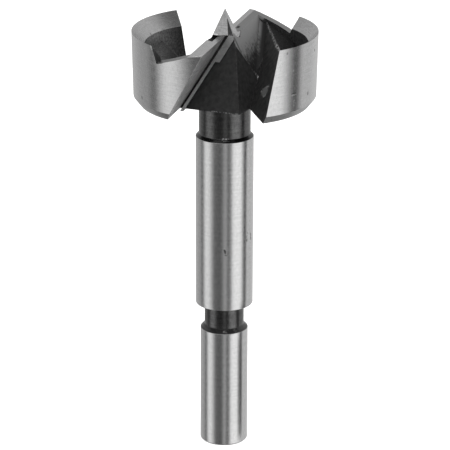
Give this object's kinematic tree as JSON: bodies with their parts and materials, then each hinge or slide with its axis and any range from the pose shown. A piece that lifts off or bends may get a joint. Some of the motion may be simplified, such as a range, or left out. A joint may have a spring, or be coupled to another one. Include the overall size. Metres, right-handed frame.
{
  "type": "forstner bit",
  "caption": "Forstner bit for boring flat-bottomed holes in wood: stepped cylindrical shank, slim neck and a wide round head with a sharp rim, cutting lips and a centre spur.",
  "frame": {"origin": "centre of the shank's end face", "axes": "+Z along the shank's axis, from its end up to the spur's tip; the cutting lips run along -Y and +Y"},
  "size_m": [0.038, 0.038, 0.0947],
  "materials": {
    "tool_steel": "ground bright on shank, rim, lips and spur, black oxide in the gullets, neck and groove"
  },
  "bodies": {
    "root": {"forstner_bit": "tool_steel"}
  },
  "joints": []
}
